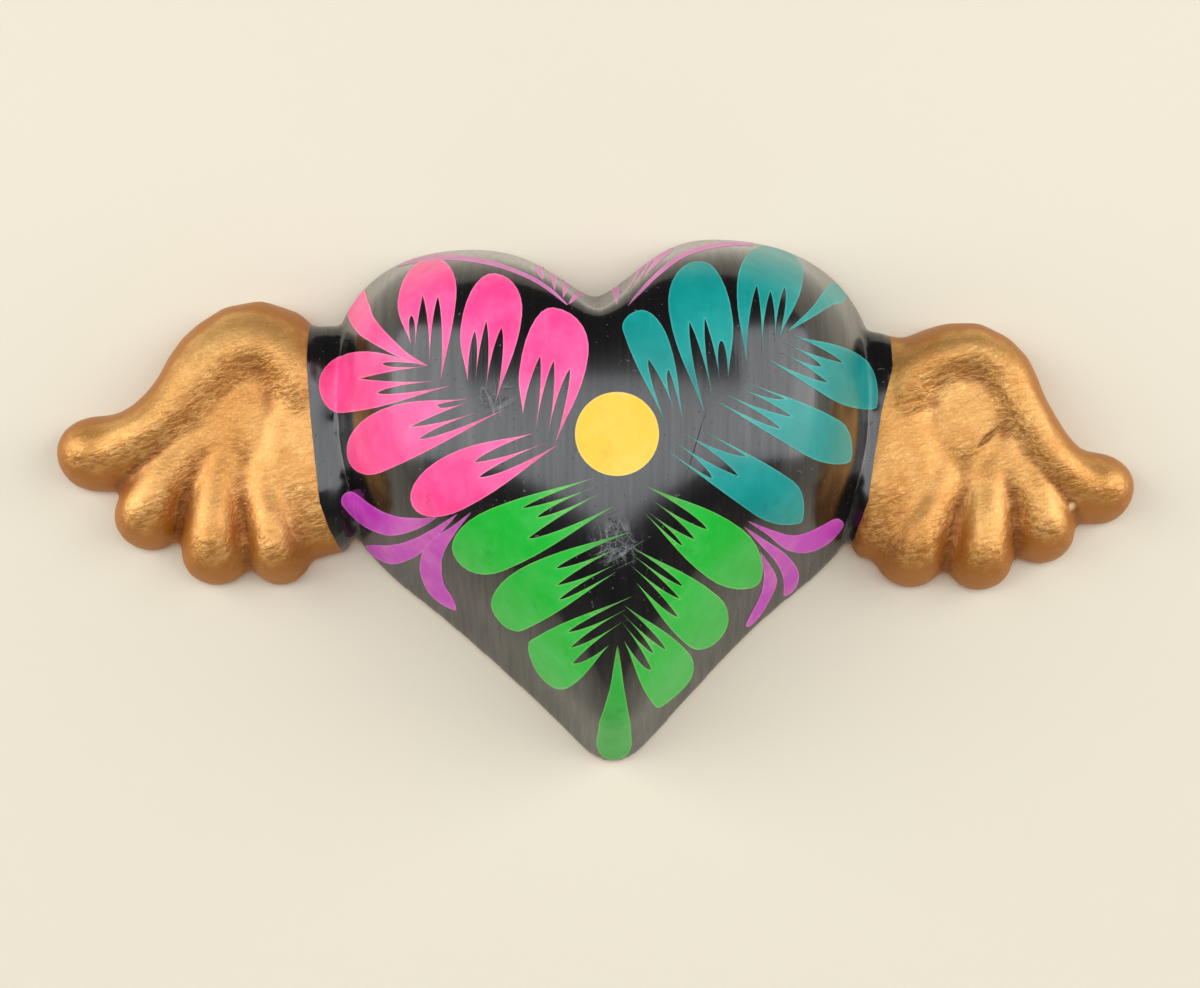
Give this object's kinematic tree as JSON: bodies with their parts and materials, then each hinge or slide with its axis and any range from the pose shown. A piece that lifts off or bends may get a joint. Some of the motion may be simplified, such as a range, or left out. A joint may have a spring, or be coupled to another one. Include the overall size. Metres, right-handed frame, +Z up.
{
  "type": "winged heart wall ornament",
  "caption": "Hollow painted clay heart with a domed lacquered face and two gold feathered wings, made to hang flat on a wall from a steel wire across its open back",
  "frame": {"origin": "the point on the wall plane at the height where the nail carries the underside of the hanging wire", "axes": "as it hangs: +X to the viewer's right along the wall, +Z up, and the decorated face looks along -Y; the wall is the plane y = 0"},
  "size_m": [0.1797, 0.036, 0.0881],
  "materials": {
    "black_lacquer": "high-gloss black lacquer over fired clay, with painted petals",
    "gold_paint": "brushed metallic gold paint over fired clay, satin",
    "bare_clay": "bare low-fired red clay, matte",
    "steel_wire": "dull annealed steel"
  },
  "bodies": {
    "root": {"heart_shell": "black_lacquer", "left_neck": "black_lacquer", "right_neck": "black_lacquer", "left_wing": "gold_paint", "right_wing": "gold_paint", "left_wire_pad": "bare_clay", "right_wire_pad": "bare_clay", "hanging_wire": "steel_wire"}
  },
  "joints": []
}
